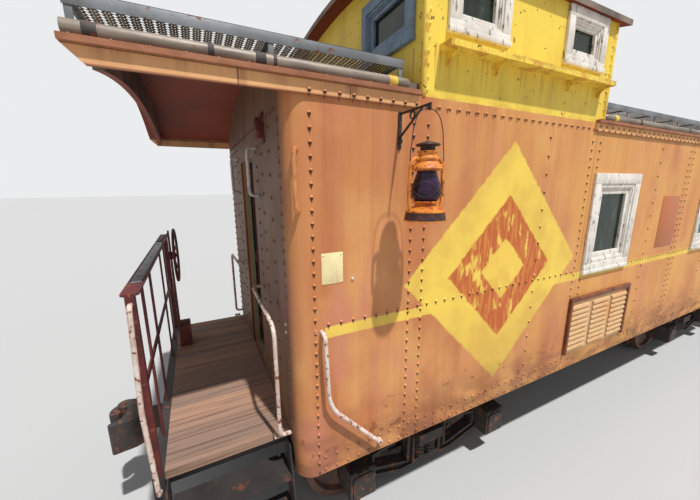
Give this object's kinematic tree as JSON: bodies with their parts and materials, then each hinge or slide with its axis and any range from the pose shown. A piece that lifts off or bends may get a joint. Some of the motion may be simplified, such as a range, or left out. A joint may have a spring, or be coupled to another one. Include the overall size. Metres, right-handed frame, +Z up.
{
  "type": "railroad caboose",
  "caption": "Riveted steel caboose with an off-centre cupola and open end platforms, on two swivelling trucks; end doors open and wheels turn.",
  "frame": {"origin": "on the track's centreline at mid-length of the cabin, level with the bottom of the wheel flanges", "axes": "+X along the car, away from the pictured platform; +Z up; the pictured side faces -Y"},
  "size_m": [11.8594, 3.352, 4.6695],
  "materials": {
    "body_paint": "faded rust-orange paint, streaked and chalky",
    "fascia_paint": "faded tan-orange paint with rust runs",
    "roof_sheet": "weathered grey-brown roof paint",
    "cupola_paint": "faded yellow paint",
    "white_trim": "peeling white paint",
    "window_glass": "dusty clear glass",
    "railing_paint": "dark maroon paint, worn",
    "handrail_paint": "worn white paint over rust",
    "deck_boards": "weathered boards",
    "floor_wood": "worn boards",
    "galvanised_grating": "dull galvanised steel with rust",
    "underframe_black": "black paint with dust and rust",
    "truck_black": "black cast steel with rust",
    "wheel_steel": "rusty wheel steel, treads bright",
    "cast_steel": "dark cast steel",
    "door_paint": "dark red-brown paint",
    "inside_paint": "dull green inside paint",
    "cushion_leather": "dark leathercloth",
    "wrought_iron": "black wrought iron",
    "rusty_tin": "rusted orange tin"
  },
  "bodies": {
    "car": {"centre_sill": "underframe_black", "side_sills": "underframe_black", "cross_bearers": "underframe_black", "body_bolsters": "underframe_black", "body_end_sills": "underframe_black", "platform_end_sills": "underframe_black", "platform_stringers": "underframe_black", "cabin_floor": "floor_wood", "platform_floors": "deck_boards", "left_side_wall": "body_paint", "right_side_wall": "body_paint", "front_end_wall": "body_paint", "rear_end_wall": "body_paint", "roof": "roof_sheet", "eave_fascias": "fascia_paint", "eave_mouldings": "roof_sheet", "cupola_side_walls": "cupola_paint", "cupola_end_walls": "cupola_paint", "cupola_roof": "roof_sheet", "cupola_ledges": "cupola_paint", "eave_walkways": "galvanised_grating", "side_window_frames": "white_trim", "cupola_window_frames": "white_trim", "window_glass": "window_glass", "louvre_panel": "body_paint", "end_railings": "railing_paint", "brake_wheels": "railing_paint", "steps": "underframe_black", "handrails": "handrail_paint", "grab_irons": "handrail_paint", "couplers": "cast_steel", "air_reservoir": "underframe_black", "brake_cylinder": "underframe_black", "stove": "cast_steel", "bunks": "cushion_leather", "cupola_seats": "inside_paint", "lantern_bracket": "wrought_iron", "lantern": "rusty_tin"},
    "front_door_leaf": {"front_door": "door_paint", "front_door_glass": "window_glass"},
    "rear_door_leaf": {"rear_door": "door_paint", "rear_door_glass": "window_glass"},
    "front_truck": {"front_truck_frame": "truck_black", "front_truck_bolster": "truck_black", "front_truck_springs": "truck_black", "front_truck_brakes": "truck_black"},
    "front_axle_1": {"front_wheelset_1": "wheel_steel"},
    "front_axle_2": {"front_wheelset_2": "wheel_steel"},
    "rear_truck": {"rear_truck_frame": "truck_black", "rear_truck_bolster": "truck_black", "rear_truck_springs": "truck_black", "rear_truck_brakes": "truck_black"},
    "rear_axle_1": {"rear_wheelset_1": "wheel_steel"},
    "rear_axle_2": {"rear_wheelset_2": "wheel_steel"}
  },
  "joints": [
    {"name": "front_door_hinge", "type": "hinge", "parent": "car", "child": "front_door_leaf", "pos_m": [-4.486, 0.35, 1.3], "axis": [0, 0, 1], "range_deg": [-90, 10]},
    {"name": "rear_door_hinge", "type": "hinge", "parent": "car", "child": "rear_door_leaf", "pos_m": [4.486, -0.35, 1.3], "axis": [0, 0, 1], "range_deg": [0, 100]},
    {"name": "front_truck_swivel", "type": "hinge", "parent": "car", "child": "front_truck", "pos_m": [-3.1, 0, 0.715], "axis": [0, 0, 1], "range_deg": [-8, 8]},
    {"name": "front_axle_1_spin", "type": "hinge", "parent": "front_truck", "child": "front_axle_1", "pos_m": [-3.938, 0, 0.4445], "axis": [0, 1, 0], "continuous": true},
    {"name": "front_axle_2_spin", "type": "hinge", "parent": "front_truck", "child": "front_axle_2", "pos_m": [-2.262, 0, 0.4445], "axis": [0, 1, 0], "continuous": true},
    {"name": "rear_truck_swivel", "type": "hinge", "parent": "car", "child": "rear_truck", "pos_m": [3.1, 0, 0.715], "axis": [0, 0, 1], "range_deg": [-8, 8]},
    {"name": "rear_axle_1_spin", "type": "hinge", "parent": "rear_truck", "child": "rear_axle_1", "pos_m": [2.262, 0, 0.4445], "axis": [0, 1, 0], "continuous": true},
    {"name": "rear_axle_2_spin", "type": "hinge", "parent": "rear_truck", "child": "rear_axle_2", "pos_m": [3.938, 0, 0.4445], "axis": [0, 1, 0], "continuous": true}
  ]
}
